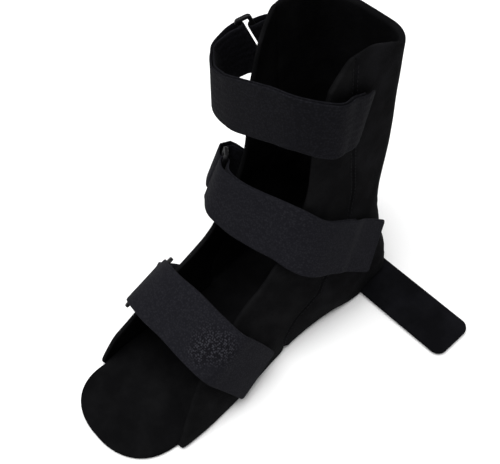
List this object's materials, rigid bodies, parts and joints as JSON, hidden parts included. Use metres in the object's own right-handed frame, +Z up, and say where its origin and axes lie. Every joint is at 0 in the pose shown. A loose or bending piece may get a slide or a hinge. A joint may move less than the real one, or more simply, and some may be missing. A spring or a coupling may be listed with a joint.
{
  "type": "walking boot",
  "caption": "Open-toed soft walking boot: padded calf, heel and sole piece, side panels, webbing straps folded through rings and a flat bar across the heel.",
  "frame": {"origin": "middle of the sole's underside, half way between the heel's back and the toe end", "axes": "+Z up, +Y from the toes to the heel, +X to the inner side of a right foot"},
  "size_m": [0.27, 0.2989, 0.2536],
  "materials": {
    "panel_cloth": "matte laminated black cloth",
    "side_cloth": "matte laminated black cloth",
    "bar_cloth": "matte black cloth over a stiff strip",
    "webbing": "brushed loop webbing, near black",
    "ring_plastic": "satin black plastic"
  },
  "bodies": {
    "root": {"l_panel": "panel_cloth", "medial_panel": "side_cloth", "lateral_panel": "side_cloth", "heel_bar": "bar_cloth", "top_strap": "webbing", "top_ring": "ring_plastic", "top_ring_tab": "webbing", "ankle_strap": "webbing", "ankle_ring": "ring_plastic", "ankle_ring_tab": "webbing", "foot_strap": "webbing", "foot_ring": "ring_plastic", "foot_ring_tab": "webbing"}
  },
  "joints": []
}
